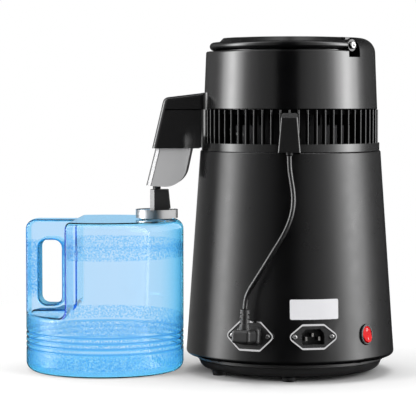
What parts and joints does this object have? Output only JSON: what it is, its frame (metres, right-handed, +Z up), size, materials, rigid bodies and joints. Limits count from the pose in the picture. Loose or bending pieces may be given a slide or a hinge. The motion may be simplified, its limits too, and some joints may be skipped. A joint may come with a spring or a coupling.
{
  "type": "countertop water distiller",
  "caption": "Tapered black boiler with a lift-off louvred fan head, swing-up carrying handle, drip spout, rocker switch and plug-in lead, beside a clear jug with a moulded grip.",
  "frame": {"origin": "on the counter, under the middle of the boiler and jug together", "axes": "+X from the jug to the boiler, +Y from the switch side to the back, +Z up"},
  "size_m": [0.4082, 0.25, 0.368],
  "materials": {
    "shell_black": "gloss",
    "gloss_black": "gloss",
    "matte_black": "fine matte",
    "steel": "brushed",
    "cast_aluminium": "satin",
    "contact_metal": "nickel plated",
    "screw_steel": "zinc plated",
    "bright_trim": "polished",
    "silver_paint": "silver paint",
    "switch_red": "gloss",
    "foot_rubber": "matte",
    "lead_rubber": "satin",
    "clear_silicone": "satin",
    "filter_white": "matte",
    "motor_paint": "satin",
    "jug_clear": "clear moulded"
  },
  "bodies": {
    "base": {"body_shell": "shell_black", "boiling_tank": "steel", "heater_plate": "cast_aluminium", "heater_terminals": "contact_metal", "heater_clamp": "steel", "thermostats": "contact_metal", "base_pan": "matte_black", "pan_screws": "screw_steel", "feet": "foot_rubber", "foot_screws": "screw_steel", "power_inlet": "matte_black", "power_inlet_trim": "bright_trim", "inlet_pins": "contact_metal", "lead_socket": "matte_black", "lead_socket_trim": "bright_trim", "lead_pins": "contact_metal", "socket_screws": "screw_steel", "switch_bezel": "matte_black", "switch_terminals": "contact_metal", "head_lead": "lead_rubber", "lead_plug": "matte_black", "lead_strain_relief": "matte_black"},
    "head": {"head_cover": "gloss_black", "vent_housing": "gloss_black", "cover_screws": "screw_steel", "handle_screws": "screw_steel", "nozzle_cover": "silver_paint", "carbon_filter": "filter_white", "outlet_tip": "matte_black", "steam_dish": "steel", "seal_ring": "clear_silicone", "dish_screws": "screw_steel", "steam_riser": "steel", "condenser_coil": "steel", "cooling_fins": "cast_aluminium", "outlet_tube": "clear_silicone", "motor_bracket": "steel", "bracket_screws": "screw_steel", "fan_motor": "motor_paint", "lead_cover": "gloss_black", "lead_gland": "foot_rubber"},
    "handle": {"carry_handle": "gloss_black"},
    "fan": {"fan_rotor": "matte_black"},
    "rocker": {"switch_rocker": "switch_red"},
    "jug": {"jug_bottle": "jug_clear"},
    "cap": {"jug_cap": "gloss_black", "cap_band": "bright_trim", "cap_gasket": "clear_silicone"}
  },
  "joints": [
    {"name": "head_lift", "type": "slide", "parent": "base", "child": "head", "axis": [0, 0, 1], "range_m": [0, 0.02], "deforming": ["head_lead"]},
    {"name": "handle_swing", "type": "hinge", "parent": "head", "child": "handle", "pos_m": [0.08925, 0, 0.3579], "axis": [-0.7431, 0.6691, 0], "range_deg": [0, 90]},
    {"name": "fan_spin", "type": "hinge", "parent": "head", "child": "fan", "pos_m": [0.08925, 0, 0.32], "axis": [0, 0, 1], "continuous": true},
    {"name": "switch_rock", "type": "hinge", "parent": "base", "child": "rocker", "pos_m": [0.17146, -0.07801, 0.04953], "axis": [0.6884, 0.7254, 0], "range_deg": [0, 18]},
    {"name": "jug_slide", "type": "slide", "parent": "base", "child": "jug", "axis": [-1, 0, 0], "range_m": [0, 0.15]},
    {"name": "cap_turn", "type": "hinge", "parent": "jug", "child": "cap", "pos_m": [-0.05875, 0, 0.175], "axis": [0, 0, 1], "range_deg": [0, 360]}
  ]
}
